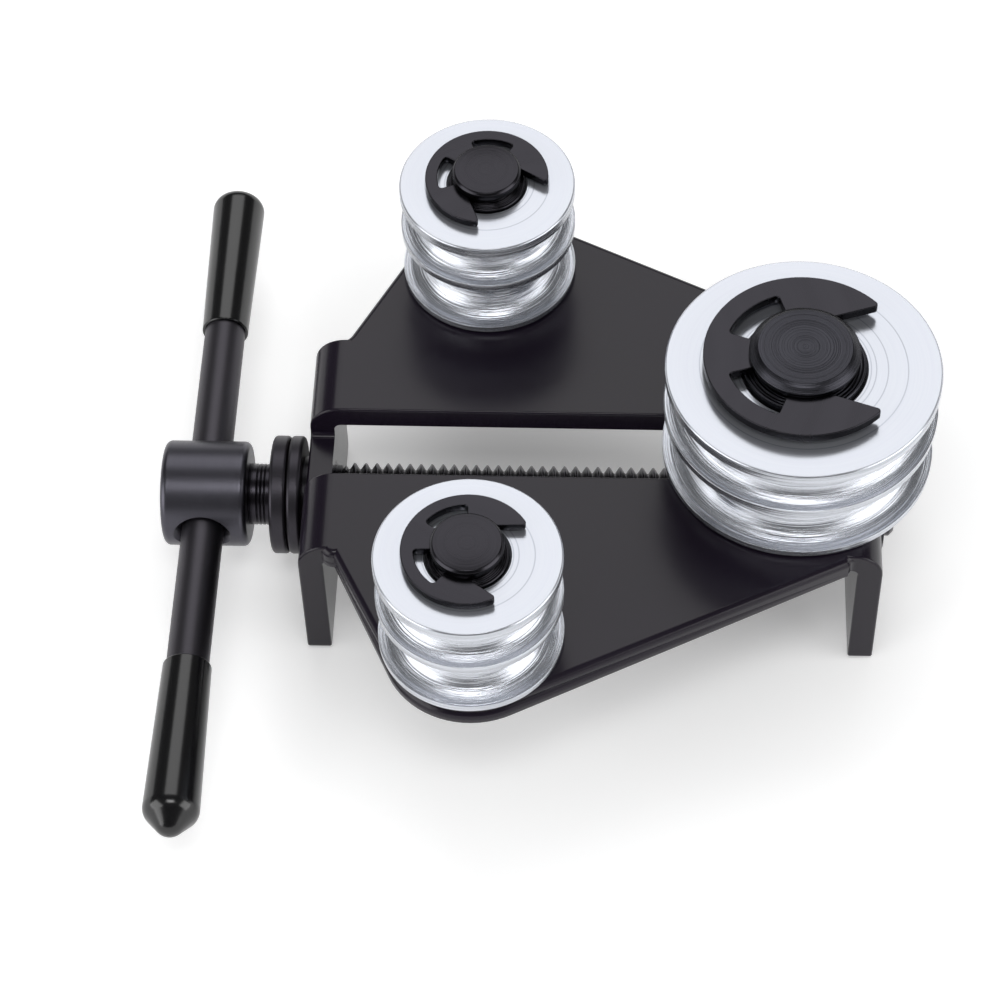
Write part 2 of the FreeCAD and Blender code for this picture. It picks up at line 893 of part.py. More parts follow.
# Grip: a tapered sleeve closed by a dome, which is a rounded side, a straight
# slope and a small nose, all tangent
def grip(name, end_word):
    body = new_body(name)
    inner = size("bar_radius")
    mouth = size("grip_mouth_radius")
    outer = size("grip_radius")
    edge = size("grip_edge")
    bottom = size("bar_length") / 2
    end = bottom - size(end_word + "_bar_in_dome")
    start = end - size(end_word + "_grip_length")
    side = size(end_word + "_dome_side")
    slope = size(end_word + "_dome_slope")
    nose = size(end_word + "_dome_nose")
    shoulder = outer - side * (1 - cosine(slope))
    shoulder_end = end + side * sine(slope)
    run = (shoulder - nose * cosine(slope)) / sine(slope)
    nose_start = shoulder_end + run * cosine(slope)
    profile = new_sketch(body, name + "_profile", "XY_Plane")
    outline(profile, [
        (inner, start),
        (mouth - edge, start, edge),
        (mouth, start + edge),
        (outer, end, side),
        (shoulder, shoulder_end),
        (nose * cosine(slope), nose_start, nose),
        (0, nose_start + nose * (1 - sine(slope))),
        (0, bottom),
        (inner, bottom),
    ])
    turned(body, name + "_turned", profile, "V_Axis")
    return body


# Fixed part
NODES = {}
NODES["base_plate"] = base_plate()

pin_bore = size("pin_radius") + size("roller_play")
forming_bore = size("forming_pin_radius") + size("roller_play")
shim_bore = size("pin_radius") + size("roller_play")
cap_drop = size("pin_cap_chamfer")
groove_roof = clip_bottom + size("clip_thick") + size("clip_play")

for word, side, turn in (("front", -1, "front_clip_turn"), ("rear", 1, "rear_clip_turn")):
    y = side * half_span
    NODES[word + "_roller"] = roller(word + "_roller", size("roller_radius"), pin_bore)
    put(NODES[word + "_roller"], fixed_x, y, roller_bottom)
    name = word + "_roller_pin"
    NODES[name] = roller_pin(
        name, size("pin_radius"), size("stud_radius"), size("stud_reach"), plate_top,
        clip_bottom - size("clip_play"), groove_roof, size("pin_groove_radius"),
        size("pin_cap_radius"), size("pin_cap_radius") - cap_drop, cap_drop, size("pin_top"))
    put(NODES[name], fixed_x, y, 0)
    NODES[word + "_washer"] = washer(word + "_washer", size("fixed_shim_radius"), shim_bore, size("shim_thick"))
    put(NODES[word + "_washer"], fixed_x, y, plate_top)
    name = word + "_clip"
    NODES[name] = spring_clip(name, size("clip_radius"), size("pin_groove_radius"), size("window_radius"),
                              size("mouth_root"), size("clip_thick"))
    angle = size(turn)
    NODES[name].setExpression("Placement.Rotation.Angle", "%s * 1 deg" % angle.text)
    put(NODES[name], fixed_x, y, clip_bottom, Rotation(Vector(0, 0, 1), angle.number))

NODES["pin_nuts"] = pin_nuts()
NODES["end_bush"] = end_bush()
put(NODES["end_bush"], -half_length, 0, screw_z)

# Carriage with the forming roller
NODES["carriage_block"] = carriage_block()
put(NODES["carriage_block"], forming_x, 0, 0)
seat = plate_top + size("slide_lift")
NODES["forming_washer"] = washer("forming_washer", size("forming_shim_radius"), forming_bore, size("shim_thick"))
put(NODES["forming_washer"], forming_x, 0, seat)
NODES["forming_roller"] = roller("forming_roller", size("forming_radius"), forming_bore)
put(NODES["forming_roller"], forming_x, 0, roller_bottom)
stud_foot = screw_z + size("thread_radius") + size("thread_clearance") + 0.9
NODES["forming_roller_pin"] = roller_pin(
    "forming_roller_pin", size("forming_pin_radius"), size("forming_stud_radius"), stud_foot, seat,
    clip_bottom + 0.75 - size("clip_play"), clip_bottom + 0.75 + size("forming_clip_thick") + size("clip_play"),
    size("forming_groove_radius"), size("forming_cap_radius"), size("forming_face_radius"),
    size("forming_cap_drop"), size("forming_pin_top"))
put(NODES["forming_roller_pin"], forming_x, 0, 0)
NODES["forming_clip"] = spring_clip(
    "forming_clip", size("forming_clip_radius"), size("forming_groove_radius"),
    size("forming_window_radius"), size("forming_mouth_root"), size("forming_clip_thick"))
angle = size("forming_clip_turn")
NODES["forming_clip"].setExpression("Placement.Rotation.Angle", "%s * 1 deg" % angle.text)
put(NODES["forming_clip"], forming_x, 0, clip_bottom + 0.75, Rotation(Vector(0, 0, 1), angle.number))

# Screw with its head, discs and clip
NODES["lead_screw"] = lead_screw()
put(NODES["lead_screw"], -half_length, 0, screw_z)
NODES["screw_head"] = screw_head()
put(NODES["screw_head"], -half_length - neck_left - size("head_length"), 0, screw_z)
NODES["thrust_collar"] = disc("thrust_collar", size("collar_thick"), neck)
put(NODES["thrust_collar"], -half_length - collar_left, 0, screw_z)
NODES["thrust_washer"] = disc("thrust_washer", size("washer_thick") - 0.02, neck + size("journal_clearance"))
put(NODES["thrust_washer"], -half_length - size("bush_rim") - size("washer_thick"), 0, screw_z)
NODES["screw_clip"] = spring_clip(
    "screw_clip", size("screw_clip_radius"), size("screw_clip_groove"), size("screw_window_radius"),
    size("screw_mouth_root"), size("screw_clip_thick"))
NODES["screw_clip"].Placement = Placement(Vector(0, 0, 0), Rotation(Vector(0, 1, 0), 90))
put(NODES["screw_clip"], half_length + 0.075, 0, screw_z)

# Sliding bar
bar_x = -half_length - neck_left - size("cross_offset")
NODES["tommy_bar"] = tommy_bar()
put(NODES["tommy_bar"], bar_x, 0, screw_z)
NODES["rear_grip"] = grip("rear_grip", "rear")
put(NODES["rear_grip"], bar_x, 0, screw_z)
NODES["front_grip"] = grip("front_grip", "front")
put(NODES["front_grip"], bar_x, 0, screw_z, Rotation(Vector(1, 0, 0), 180))

doc.recompute()

# Nothing is written unless every object and every piece is sound
for thing in doc.Objects:
    assert not {"Invalid", "Error"} & set(thing.State), "%s: %s" % (thing.Name, thing.State)
for name, thing in NODES.items():
    shape = thing.Shape
    assert not shape.isNull() and shape.isValid(), name + " is not a sound solid"
    print("%-20s solids %d  volume %9.2f" % (name, len(shape.Solids), shape.Volume))
os.makedirs("parts", exist_ok=True)
for name, thing in NODES.items():
    thing.Shape.exportStep("parts/%s.step" % name)
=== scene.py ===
# %% [markdown]
# # A small screw-driven bender for brake pipe
# A bent steel plate carries two fixed grooved rollers. A third, larger roller
# rides on a carriage in the plate's slot, and a screw with a sliding bar draws
# it between the other two, so that a pipe laid across them takes a bend.
# The lesson starts from the measured solids and dresses each piece: turned
# pieces are spun from their profiles, flat pressed pieces are softened copies
# of the solids, and the screw's thread grows from a rule in Geometry Nodes.

# %% Load the measured solids
import bmesh
import bpy
import math
from mathutils import Matrix, Vector


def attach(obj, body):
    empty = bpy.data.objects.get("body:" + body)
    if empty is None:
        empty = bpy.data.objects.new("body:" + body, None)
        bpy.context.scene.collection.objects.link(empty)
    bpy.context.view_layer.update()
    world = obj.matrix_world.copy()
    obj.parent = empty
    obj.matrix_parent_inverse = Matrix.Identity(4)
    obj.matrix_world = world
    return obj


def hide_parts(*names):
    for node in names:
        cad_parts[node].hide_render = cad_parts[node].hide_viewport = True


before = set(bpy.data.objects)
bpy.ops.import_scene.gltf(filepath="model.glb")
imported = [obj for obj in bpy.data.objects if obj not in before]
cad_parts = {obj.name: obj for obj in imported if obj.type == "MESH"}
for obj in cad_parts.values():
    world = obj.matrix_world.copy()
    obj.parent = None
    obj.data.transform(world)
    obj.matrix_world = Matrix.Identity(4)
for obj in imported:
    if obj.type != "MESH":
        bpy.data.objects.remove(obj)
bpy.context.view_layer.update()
MM = 0.001

# %% [markdown]
# ## The camera
# The camera comes first, because everything else is judged through it. Its
# place was solved from the round rims of the rollers, whose true size is
# known: it stands 437 mm away, 54 degrees above the bench, a little to the
# right, and leans by two degrees. A long lens keeps the far side nearly as
# large as the near one, as in a catalogue photograph.

# %% Place the camera
azimuth = math.radians(3.70)
height = math.radians(53.71)
lean = math.radians(-1.98)
aim = Vector((-12.53, -9.84, 25.0)) * MM
away = 436.8 * MM

forward = Vector((-math.sin(azimuth) * math.cos(height),
                  math.cos(azimuth) * math.cos(height), -math.sin(height)))
level = Vector((math.cos(azimuth), math.sin(azimuth), 0.0))
above = level.cross(forward)
right = level * math.cos(lean) + above * math.sin(lean)
up = above * math.cos(lean) - level * math.sin(lean)

lens = bpy.data.cameras.new("camera")
lens.lens = 113.5
lens.sensor_width = 36.0
lens.clip_start = 0.01
camera = bpy.data.objects.new("camera", lens)
bpy.context.scene.collection.objects.link(camera)
turn = Matrix((right, up, -forward)).transposed().to_4x4()
camera.matrix_world = Matrix.Translation(aim - forward * away) @ turn
bpy.context.scene.camera = camera
print("camera at", [round(v, 4) for v in camera.location])

# %% [markdown]
# ## Colours and nodes
# Colours are written as they look on a screen, in hex, and one function turns
# them into the linear numbers that a renderer adds up. A second small function
# adds a node, sets it up and links it, so that each finish reads as a short
# list of what it is made from. A third starts a finish with no nodes in it.

# %% Small helpers for every finish
def linear(code):
    # The standard screen curve: straight close to black, a power above that
    parts = [int(code[i:i + 2], 16) / 255 for i in (1, 3, 5)]
    bent = [p / 12.92 if p <= 0.04045 else ((p + 0.055) / 1.055) ** 2.4 for p in parts]
    return (*bent, 1.0)


def add(tree, kind, values=None, links=None, **settings):
    # Values fill inputs, and links join inputs to a pair of node and output
    fresh = tree.nodes.new(kind)
    for word, value in settings.items():
        setattr(fresh, word, value)
    for word, value in (values or {}).items():
        fresh.inputs[word].default_value = value
    for word, (source, output) in (links or {}).items():
        tree.links.new(source.outputs[output], fresh.inputs[word])
    return fresh


def finish_named(name):
    material = bpy.data.materials.new(name)
    material.use_nodes = True
    tree = material.node_tree
    tree.nodes.clear()
    return material, tree


print("white in linear numbers:", linear("#FFFFFF"))

# %% [markdown]
# ## Powder-coated steel
# The plate was sprayed with dry black paint and baked. The coat is not quite
# black, has a satin gloss that blurs reflections, and swells and dips by a few
# hundredths of a millimetre every millimetre or so, like orange peel.

# %% Powder coat
clouds_per_metre = 60.0  # the tint drifts over 17 mm
peel_per_metre = 900.0  # one swell for every 1.1 mm
peel_height = 0.03 * MM


def powder_coat():
    material, tree = finish_named("powder_coated_steel_satin_black")
    place = add(tree, "ShaderNodeTexCoord")
    cloud = add(tree, "ShaderNodeTexNoise", {"Scale": clouds_per_metre, "Detail": 2.0},
                {"Vector": (place, "Object")})
    tint = add(tree, "ShaderNodeMix", {"A": linear("#17111C"), "B": linear("#1D1723")},
               {"Factor": (cloud, "Fac")}, data_type="RGBA")
    gloss = add(tree, "ShaderNodeMapRange", {"To Min": 0.20, "To Max": 0.27},
                {"Value": (cloud, "Fac")})
    peel = add(tree, "ShaderNodeTexNoise", {"Scale": peel_per_metre, "Detail": 3.0},
               {"Vector": (place, "Object")})
    swell = add(tree, "ShaderNodeBump", {"Strength": 0.12, "Distance": peel_height},
                {"Height": (peel, "Fac")})
    # A mix of two colours gives its result on output 2
    coat = add(tree, "ShaderNodeBsdfPrincipled", {"IOR": 1.36},
               {"Base Color": (tint, 2), "Roughness": (gloss, "Result"),
                "Normal": (swell, "Normal")})
    add(tree, "ShaderNodeOutputMaterial", links={"Surface": (coat, "BSDF")})
    return material


plate_finish = powder_coat()
print("finish:", plate_finish.name)

# %% [markdown]
# ## Blackened steel
# Pins, clips, discs and the screw are steel that was dipped in a hot salt bath.
# The thin oxide keeps the metal's sheen but takes nearly all its brightness,
# so the finish is a metal with a very dark colour. Turned pieces keep the fine
# rings of the lathe: a noise that depends only on the distance from the axis
# and the place along it draws them, and each piece has its own axis. Real
# marks stand about a tenth of a millimetre apart. They are drawn coarser than
# that, because marks so fine don't show in the render.

# %% Distance from an axis, as nodes
def from_axis(tree, centre, along):
    place = add(tree, "ShaderNodeTexCoord")
    moved = add(tree, "ShaderNodeVectorMath", {1: [c * MM for c in centre]},
                {0: (place, "Object")}, operation="SUBTRACT")
    split = add(tree, "ShaderNodeSeparateXYZ", links={"Vector": (moved, "Vector")})
    across = [letter for letter in "XYZ" if letter != along]
    flat = add(tree, "ShaderNodeCombineXYZ",
               links={"X": (split, across[0]), "Y": (split, across[1])})
    radius = add(tree, "ShaderNodeVectorMath", links={0: (flat, "Vector")}, operation="LENGTH")
    return radius, split, flat


def lathe_rings(tree, centre, along, spacing, detail=3.0):
    radius, split, _ = from_axis(tree, centre, along)
    # The half section is the whole pattern: distance from the axis and place along it
    section = add(tree, "ShaderNodeCombineXYZ",
                  links={"X": (radius, "Value"), "Y": (split, along)})
    # One noise cell is one tool mark, so the scale is one over the spacing
    return add(tree, "ShaderNodeTexNoise", {"Scale": 1.0 / (spacing * MM), "Detail": detail},
               {"Vector": (section, "Vector")}, noise_dimensions="2D")


print("rings follow any axis")

# %% Black oxide
oxide_mark_height = 0.12 * MM
oxide_gloss_spread = 0.12


def black_oxide(name, centre=(0, 0, 0), along="Z", spacing=0.25, marks=0.3,
                tone="#353337", grain=0.0, rough=0.28):
    material, tree = finish_named("black_oxide_steel_" + name)
    ring_way = add(tree, "ShaderNodeTangent", direction_type="RADIAL", axis=along)
    rings = lathe_rings(tree, centre, along, spacing)
    gloss = add(tree, "ShaderNodeMapRange",
                {"To Min": rough, "To Max": rough + oxide_gloss_spread},
                {"Value": (rings, "Fac")})
    swell = add(tree, "ShaderNodeBump", {"Strength": marks, "Distance": oxide_mark_height},
                {"Height": (rings, "Fac")})
    skin = add(tree, "ShaderNodeBsdfPrincipled",
               {"Base Color": linear(tone), "Metallic": 1.0, "Anisotropic": grain},
               {"Roughness": (gloss, "Result"), "Normal": (swell, "Normal"),
                "Tangent": (ring_way, "Tangent")})
    add(tree, "ShaderNodeOutputMaterial", links={"Surface": (skin, "BSDF")})
    return material


print("black oxide marks: at most %.2f mm high" % (oxide_mark_height / MM))

# %% [markdown]
# ## Turned and zinc-plated rollers
# The rollers are turned from bar and bright plated. Their ends are faced nearly
# smooth, with a few faint circles where the tool stopped; the finish paints them
# as thin grey lines, painted shade for the shallow grooves there. Their grooves
# carry stronger tool marks, which smear every reflection across the marks. Here
# too the marks are drawn coarser than real ones, so that they show.

# %% Bright turned steel
groove_mark_spacing = 0.22
groove_mark_height = 0.13 * MM
streaks_round = 1.2  # few noise cells on the way round, so each streak is long
rows_per_metre = 1600.0  # times the number above: a row of streaks every half millimetre
streak_share = 0.6  # the rest of the pattern is plain rings
# Half the width of each grey circle of painted shade on the roller ends
stop_shade_half_width = 0.09 * MM

# Dark and pale tint, least and most roughness, bump, metallic, anisotropic
roller_looks = {
    "grooves": ("#B2B5BC", "#DADDE4", 0.16, 0.30, 1.0, 0.85, 0.85),
    "ends": ("#B9BCC4", "#BEC1C8", 0.15, 0.25, 0.02, 0.7, 0.0),
}


def turned_steel(name, centre, part, stops=()):
    dark, pale, low, high, marks, metal, grain = roller_looks[part]
    material, tree = finish_named("turned_zinc_plated_steel_" + name + "_" + part)
    radius, split, flat = from_axis(tree, centre, "Z")
    fine = lathe_rings(tree, centre, "Z", groove_mark_spacing, 4.0)
    # Streaks: short along the section, long round the roller
    way = add(tree, "ShaderNodeVectorMath", links={0: (flat, "Vector")}, operation="NORMALIZE")
    parts = add(tree, "ShaderNodeSeparateXYZ", links={"Vector": (way, "Vector")})
    high_row = add(tree, "ShaderNodeMath", {1: rows_per_metre}, {0: (split, "Z")},
                   operation="MULTIPLY")
    wide_row = add(tree, "ShaderNodeMath", {1: rows_per_metre}, {0: (radius, "Value")},
                   operation="MULTIPLY")
    spot = add(tree, "ShaderNodeCombineXYZ",
               links={"X": (parts, "X"), "Y": (parts, "Y"), "Z": (high_row, "Value")})
    streak = add(tree, "ShaderNodeTexNoise", {"Scale": streaks_round, "Detail": 3.0},
                 {"Vector": (spot, "Vector"), "W": (wide_row, "Value")},
                 noise_dimensions="4D")
    both = add(tree, "ShaderNodeMix", {0: streak_share}, {2: (fine, "Fac"), 3: (streak, "Fac")})
    gloss = add(tree, "ShaderNodeMapRange",
                {"From Min": 0.3, "From Max": 0.7, "To Min": low, "To Max": high},
                {"Value": (both, "Result")})
    swell = add(tree, "ShaderNodeBump", {"Strength": marks, "Distance": groove_mark_height},
                {"Height": (both, "Result")})
    ring_way = add(tree, "ShaderNodeTangent", direction_type="RADIAL", axis="Z")
    shade = add(tree, "ShaderNodeMapRange", {"From Min": 0.35, "From Max": 0.65},
                {"Value": (both, "Result")})
    tint = add(tree, "ShaderNodeMix", {"A": linear(dark), "B": linear(pale)},
               {"Factor": (shade, "Result")}, data_type="RGBA")
    # Painted shade: a faint grey circle wherever the facing tool stopped, for the shade of its
    # shallow groove
    for stop in stops:
        line = add(tree, "ShaderNodeMath", {1: stop * MM, 2: stop_shade_half_width},
                   {0: (radius, "Value")}, operation="COMPARE")
        tint = add(tree, "ShaderNodeMix", {"B": linear("#A3A6AE")},
                   {"Factor": (line, "Value"), "A": (tint, 2)}, data_type="RGBA")
    skin = add(tree, "ShaderNodeBsdfPrincipled", {"Metallic": metal, "Anisotropic": grain},
               {"Base Color": (tint, 2), "Roughness": (gloss, "Result"),
                "Normal": (swell, "Normal"), "Tangent": (ring_way, "Tangent")})
    add(tree, "ShaderNodeOutputMaterial", links={"Surface": (skin, "BSDF")})
    return material


print("roller finishes:", list(roller_looks))

# %% [markdown]
# ## Dipped plastic
# The bar's ends were dipped in soft black vinyl. It flowed before it set, so it
# is glossy, with only a slow unevenness of a few millimetres.

# %% Dipped vinyl
flows_per_metre = 150.0  # one slow wave for every 7 mm
flow_height = 0.15 * MM


def dipped_vinyl():
    material, tree = finish_named("dipped_vinyl_gloss_black")
    place = add(tree, "ShaderNodeTexCoord")
    flow = add(tree, "ShaderNodeTexNoise", {"Scale": flows_per_metre, "Detail": 1.0},
               {"Vector": (place, "Object")})
    swell = add(tree, "ShaderNodeBump", {"Strength": 0.15, "Distance": flow_height},
                {"Height": (flow, "Fac")})
    gloss = add(tree, "ShaderNodeMapRange", {"To Min": 0.18, "To Max": 0.24},
                {"Value": (flow, "Fac")})
    skin = add(tree, "ShaderNodeBsdfPrincipled",
               {"Base Color": linear("#09090B"), "IOR": 1.56},
               {"Roughness": (gloss, "Result"), "Normal": (swell, "Normal")})
    add(tree, "ShaderNodeOutputMaterial", links={"Surface": (skin, "BSDF")})
    return material


grip_finish = dipped_vinyl()
print("finish:", grip_finish.name)

# %% [markdown]
# ## Spinning a profile
# A turned piece is its half section spun round its axis. The function takes
# pairs of height and radius in millimetres. A pair on the axis becomes one
# point, so that no seam or pin-prick is left there. After the spin, a narrow
# bevel breaks every hard edge, as a file or a tumbling drum does, and that is
# what catches the light as a thin bright line.

# %% Broken edges
hard_angle = 35.0  # degrees between two faces from which an edge counts as hard


def bevelled(thing, width):
    bevel = thing.modifiers.new("edge", "BEVEL")
    bevel.width = width * MM
    bevel.segments = 2
    bevel.limit_method = "ANGLE"
    bevel.angle_limit = math.radians(hard_angle)
    thing.data.polygons.foreach_set("use_smooth", [True] * len(thing.data.polygons))
    even = thing.modifiers.new("even", "WEIGHTED_NORMAL")
    even.weight = 100
    even.keep_sharp = True
    graph = bpy.context.evaluated_depsgraph_get()
    mesh = bpy.data.meshes.new_from_object(thing.evaluated_get(graph))
    thing.modifiers.clear()
    old = thing.data
    thing.data = mesh
    bpy.data.meshes.remove(old)
    return thing


print("edges over", hard_angle, "degrees are broken")

# %% The lathe
spin_steps = 192
on_axis = 1e-9  # a radius no larger than this is a point on the axis


def placed(name, mesh):
    data = bpy.data.meshes.new(name)
    mesh.to_mesh(data)
    mesh.free()
    thing = bpy.data.objects.new(name, data)
    bpy.context.scene.collection.objects.link(thing)
    return thing


def spun(name, profile, centre, edge, along="Z", closed=False):
    mesh = bmesh.new()
    rows = []
    for high, wide in profile:
        row = []
        for step in range(spin_steps if wide > on_axis else 1):
            angle = 2 * math.pi * step / spin_steps
            a, b = wide * math.cos(angle), wide * math.sin(angle)
            spot = (high, a, b) if along == "X" else (a, b, high)
            row.append(mesh.verts.new([(s + c) * MM for s, c in zip(spot, centre)]))
        rows.append(row)
    pairs = list(zip(rows, rows[1:] + rows[:1])) if closed else list(zip(rows, rows[1:]))
    for low, top in pairs:
        for step in range(spin_steps):
            after = (step + 1) % spin_steps
            corners = [low[step % len(low)], low[after % len(low)],
                       top[after % len(top)], top[step % len(top)]]
            corners = list(dict.fromkeys(corners))
            if len(corners) > 2:
                mesh.faces.new(corners)
    bmesh.ops.recalc_face_normals(mesh, faces=mesh.faces)
    return bevelled(placed(name, mesh), edge)


def arc(x, y, radius, start, end, pieces):
    spots = []
    for step in range(pieces + 1):
        angle = math.radians(start + (end - start) * step / pieces)
        spots.append((x + radius * math.cos(angle), y + radius * math.sin(angle)))
    return spots


def settle(thing, body, slot, finish, *nodes):
    thing.data.materials.clear()
    thing.data.materials.append(finish)
    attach(thing, body)
    if nodes:
        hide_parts(*nodes)
    print("%-22s %6d faces, rides on %s" % (thing.name, len(thing.data.polygons), body))


print("lathe ready,", spin_steps, "steps round")

# %% [markdown]
# ## The three rollers
# Each roller has two half-round grooves: a narrow one above for 6 mm pipe and a
# wide one below for 8 mm pipe. Both sizes of roller share the same heights, so
# one profile serves all three, and only the outer radius and the bore differ.

# %% Where the rollers stand, and their section
roller_low = 25.25
roller_thick = 18.15
fixed_x = -15.55
fixed_y = 32.3
forming_x = 28.61

large_middle, large_groove, large_steps = 5.25, 4.05, 28
small_middle, small_groove, small_steps = 13.50, 3.00, 24
rim_chamfer = 0.2
bore_chamfer = 0.3
# Radius, bore, and the radii of the faint circles on the ends, painted grey as shade
fixed_size = (12.5, 5.48, (6.0, 6.7, 8.8))
forming_size = (18.78, 8.45, (9.1, 9.8, 11.4, 14.1))


def roller_profile(radius, bore):
    large = arc(large_middle, radius, large_groove, 180, 360, large_steps)
    small = arc(small_middle, radius, small_groove, 180, 360, small_steps)
    rim = [(0.0, bore + bore_chamfer), (0.0, radius - rim_chamfer), (rim_chamfer, radius)]
    top = [(roller_thick - rim_chamfer, radius), (roller_thick, radius - rim_chamfer)]
    mouth = [(roller_thick, bore + bore_chamfer), (roller_thick - bore_chamfer, bore),
             (bore_chamfer, bore)]
    return rim + large + small + top + mouth


print("roller section:", len(roller_profile(*fixed_size[:2])), "points")

# %% Rollers
roller_edge = 0.05
top_band, low_band = 0.1, 0.02  # faces this close to the top or bottom are ends

for name, x, y, (radius, bore, stops) in (
        ("front_roller", fixed_x, -fixed_y, fixed_size),
        ("rear_roller", fixed_x, fixed_y, fixed_size),
        ("forming_roller", forming_x, 0.0, forming_size)):
    centre = (x, y, roller_low)
    wheel = spun("turned_" + name, roller_profile(radius, bore), centre, roller_edge,
                 closed=True)
    settle(wheel, name, "turned_steel", turned_steel(name, centre, "grooves"), name)
    wheel.data.materials.append(turned_steel(name, centre, "ends", stops))
    high_end = (roller_low + roller_thick - top_band) * MM
    low_end = (roller_low + low_band) * MM
    for face in wheel.data.polygons:
        outside = face.center.z > high_end or face.center.z < low_end
        face.material_index = 1 if outside else 0

# %% [markdown]
# ## The three pins
# A pin is a stud with a shoulder that the roller turns on. Above the roller a
# groove takes the spring clip, and the cap over it has a small chamfer. The
# turned rings on the shoulder's top show through the clip's windows.

# %% Pins
ring_count = 4
ring_depth = 0.12
ring_share = 0.28  # half the width of a ring, as a share of the ring spacing
rings_from_rim, rings_from_groove = 0.25, 0.2
shoulder_chamfer = 0.15
stud_chamfer = 0.5
pin_edge = 0.06


def ringed(start, end, high):
    spots = []
    way = 1 if end > start else -1
    for number in range(ring_count):
        middle = start + (end - start) * (number + 0.5) / ring_count
        half = abs(end - start) / ring_count * ring_share
        spots += [(high, middle - way * half), (high - ring_depth, middle),
                  (high, middle + way * half)]
    return spots


def pin_profile(foot, stud, seat, shoulder, shelf, groove, roof, cap, face, drop, top):
    return ([(foot, 0.0), (foot, stud - stud_chamfer), (foot + stud_chamfer, stud),
             (seat, stud), (seat, shoulder),
             (shelf - shoulder_chamfer, shoulder), (shelf, shoulder - shoulder_chamfer)]
            + ringed(shoulder - rings_from_rim, groove + rings_from_groove, shelf)
            + [(shelf, groove), (roof, groove), (roof, cap), (top - drop, cap),
               (top, face), (top, 0.0)])


fixed_pin = dict(foot=14.0, stud=4.0, seat=25.0, shoulder=5.43, shelf=43.70, groove=3.9,
                 roof=45.0, cap=4.85, face=4.5, drop=0.35, top=46.4)
forming_pin = dict(foot=17.71, stud=5.0, seat=25.02, shoulder=8.4, shelf=44.45, groove=6.0,
                   roof=45.95, cap=7.54, face=6.37, drop=0.96, top=47.63)
# The large cap keeps clearer marks from facing than the small ones
fixed_look = dict(spacing=0.3, marks=0.1, tone="#323135", rough=0.2)
forming_look = dict(spacing=0.16, marks=0.4, tone="#38383D", grain=0.5, rough=0.2)

for name, body, x, y, sizes, look in (
        ("front_roller_pin", "base", fixed_x, -fixed_y, fixed_pin, fixed_look),
        ("rear_roller_pin", "base", fixed_x, fixed_y, fixed_pin, fixed_look),
        ("forming_roller_pin", "carriage", forming_x, 0.0, forming_pin, forming_look)):
    pin = spun("turned_" + name, pin_profile(**sizes), (x, y, 0.0), pin_edge)
    settle(pin, body, "black_oxide", black_oxide(name, (x, y, 0), **look), name)

# %% [markdown]
# ## The spring clips
# Each clip was punched from spring strip: three prongs grip the pin's groove,
# two windows leave it springy, and the open mouth is where it was pushed on.
# The measured solid already has the right outline, so a copy of it is welded,
# its flat faces are joined again, and its punched edges are rounded.

# %% Softened copies of the solids
clip_edge = 0.14
weld_distance = 0.001 * MM
flat_angle = 0.5  # degrees below which two faces count as one flat face


def softened(node, width):
    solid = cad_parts[node]
    mesh = bmesh.new()
    mesh.from_mesh(solid.data)
    bmesh.ops.remove_doubles(mesh, verts=mesh.verts, dist=weld_distance)
    bmesh.ops.dissolve_limit(mesh, angle_limit=math.radians(flat_angle),
                             verts=mesh.verts, edges=mesh.edges)
    return bevelled(placed("soft_" + node, mesh), width)


# Rolled strip has no lathe rings, only a slow unevenness
strip_finish = black_oxide("spring_strip", spacing=3.0, marks=0.05, tone="#333236", rough=0.2)
for node, body in (("front_clip", "base"), ("rear_clip", "base"),
                   ("forming_clip", "carriage"), ("screw_clip", "screw")):
    settle(softened(node, clip_edge), body, "black_oxide", strip_finish, node)

# %% [markdown]
# ## The screw's thread
# The thread is a rule: the surface moves out and in once for every pitch along
# the rod, and a quarter turn round the rod shifts that wave by a quarter of the
# pitch. So a flat grid is wrapped round the axis in Geometry Nodes, and its
# distance from the axis follows the wave. The grid's first and last rows are
# drawn in to the axis, which closes the ends. The sums come first, as a table,
# and the tree then adds one node for each of them.

# %% The sums of the thread
flank_gain, flank_shift = 1.28, -0.12  # beyond 1 and 0, which leaves flats when cut off
end_share = 1e-5  # nearer than this to either end of the rod is an end row

# Each row is a result's name, what is done, and what goes in: numbers or names
thread_sums = (
    # How far along the rod and how far round it a point of the grid comes to lie
    ("share", "ADD", "grid X", 0.5),
    ("round share", "ADD", "grid Y", 0.5),
    ("distance", "MULTIPLY", "share", "Length"),
    ("angle", "MULTIPLY", "round share", 2 * math.pi),
    # The wave is 1 at a crest and 0 at a root, once for every pitch
    ("pitches", "DIVIDE", "distance", "Pitch"),
    ("turns", "SUBTRACT", "pitches", "round share"),
    ("part turn", "FRACT", "turns"),
    ("swing", "MULTIPLY_ADD", "part turn", 2.0, -1.0),
    ("wave", "ABSOLUTE", "swing"),
    # Small flats at crest and root, as rolled threads have
    ("steep wave", "MULTIPLY_ADD", "wave", flank_gain, flank_shift),
    ("flat root", "MAXIMUM", "steep wave", 0.0),
    ("flank", "MINIMUM", "flat root", 1.0),
    ("root", "SUBTRACT", "Crest Radius", "Depth"),
    ("wavy", "MULTIPLY_ADD", "flank", "Depth", "root"),
    # The thread runs out at both ends, and the end rows are drawn in to the axis
    ("rest", "SUBTRACT", "Length", "distance"),
    ("from end", "MINIMUM", "distance", "rest"),
    ("lead in", "ADD", "root", "from end"),
    ("open radius", "MINIMUM", "wavy", "lead in"),
    ("past start", "GREATER_THAN", "share", end_share),
    ("before end", "LESS_THAN", "share", 1 - end_share),
    ("inside", "MULTIPLY", "past start", "before end"),
    ("radius", "MULTIPLY", "open radius", "inside"),
    # The point's place in the model
    ("place X", "ADD", "distance", "Start"),
    ("cosine", "COSINE", "angle"),
    ("place Y", "MULTIPLY", "radius", "cosine"),
    ("sine", "SINE", "angle"),
    ("place Z", "MULTIPLY_ADD", "radius", "sine", "Height"),
)
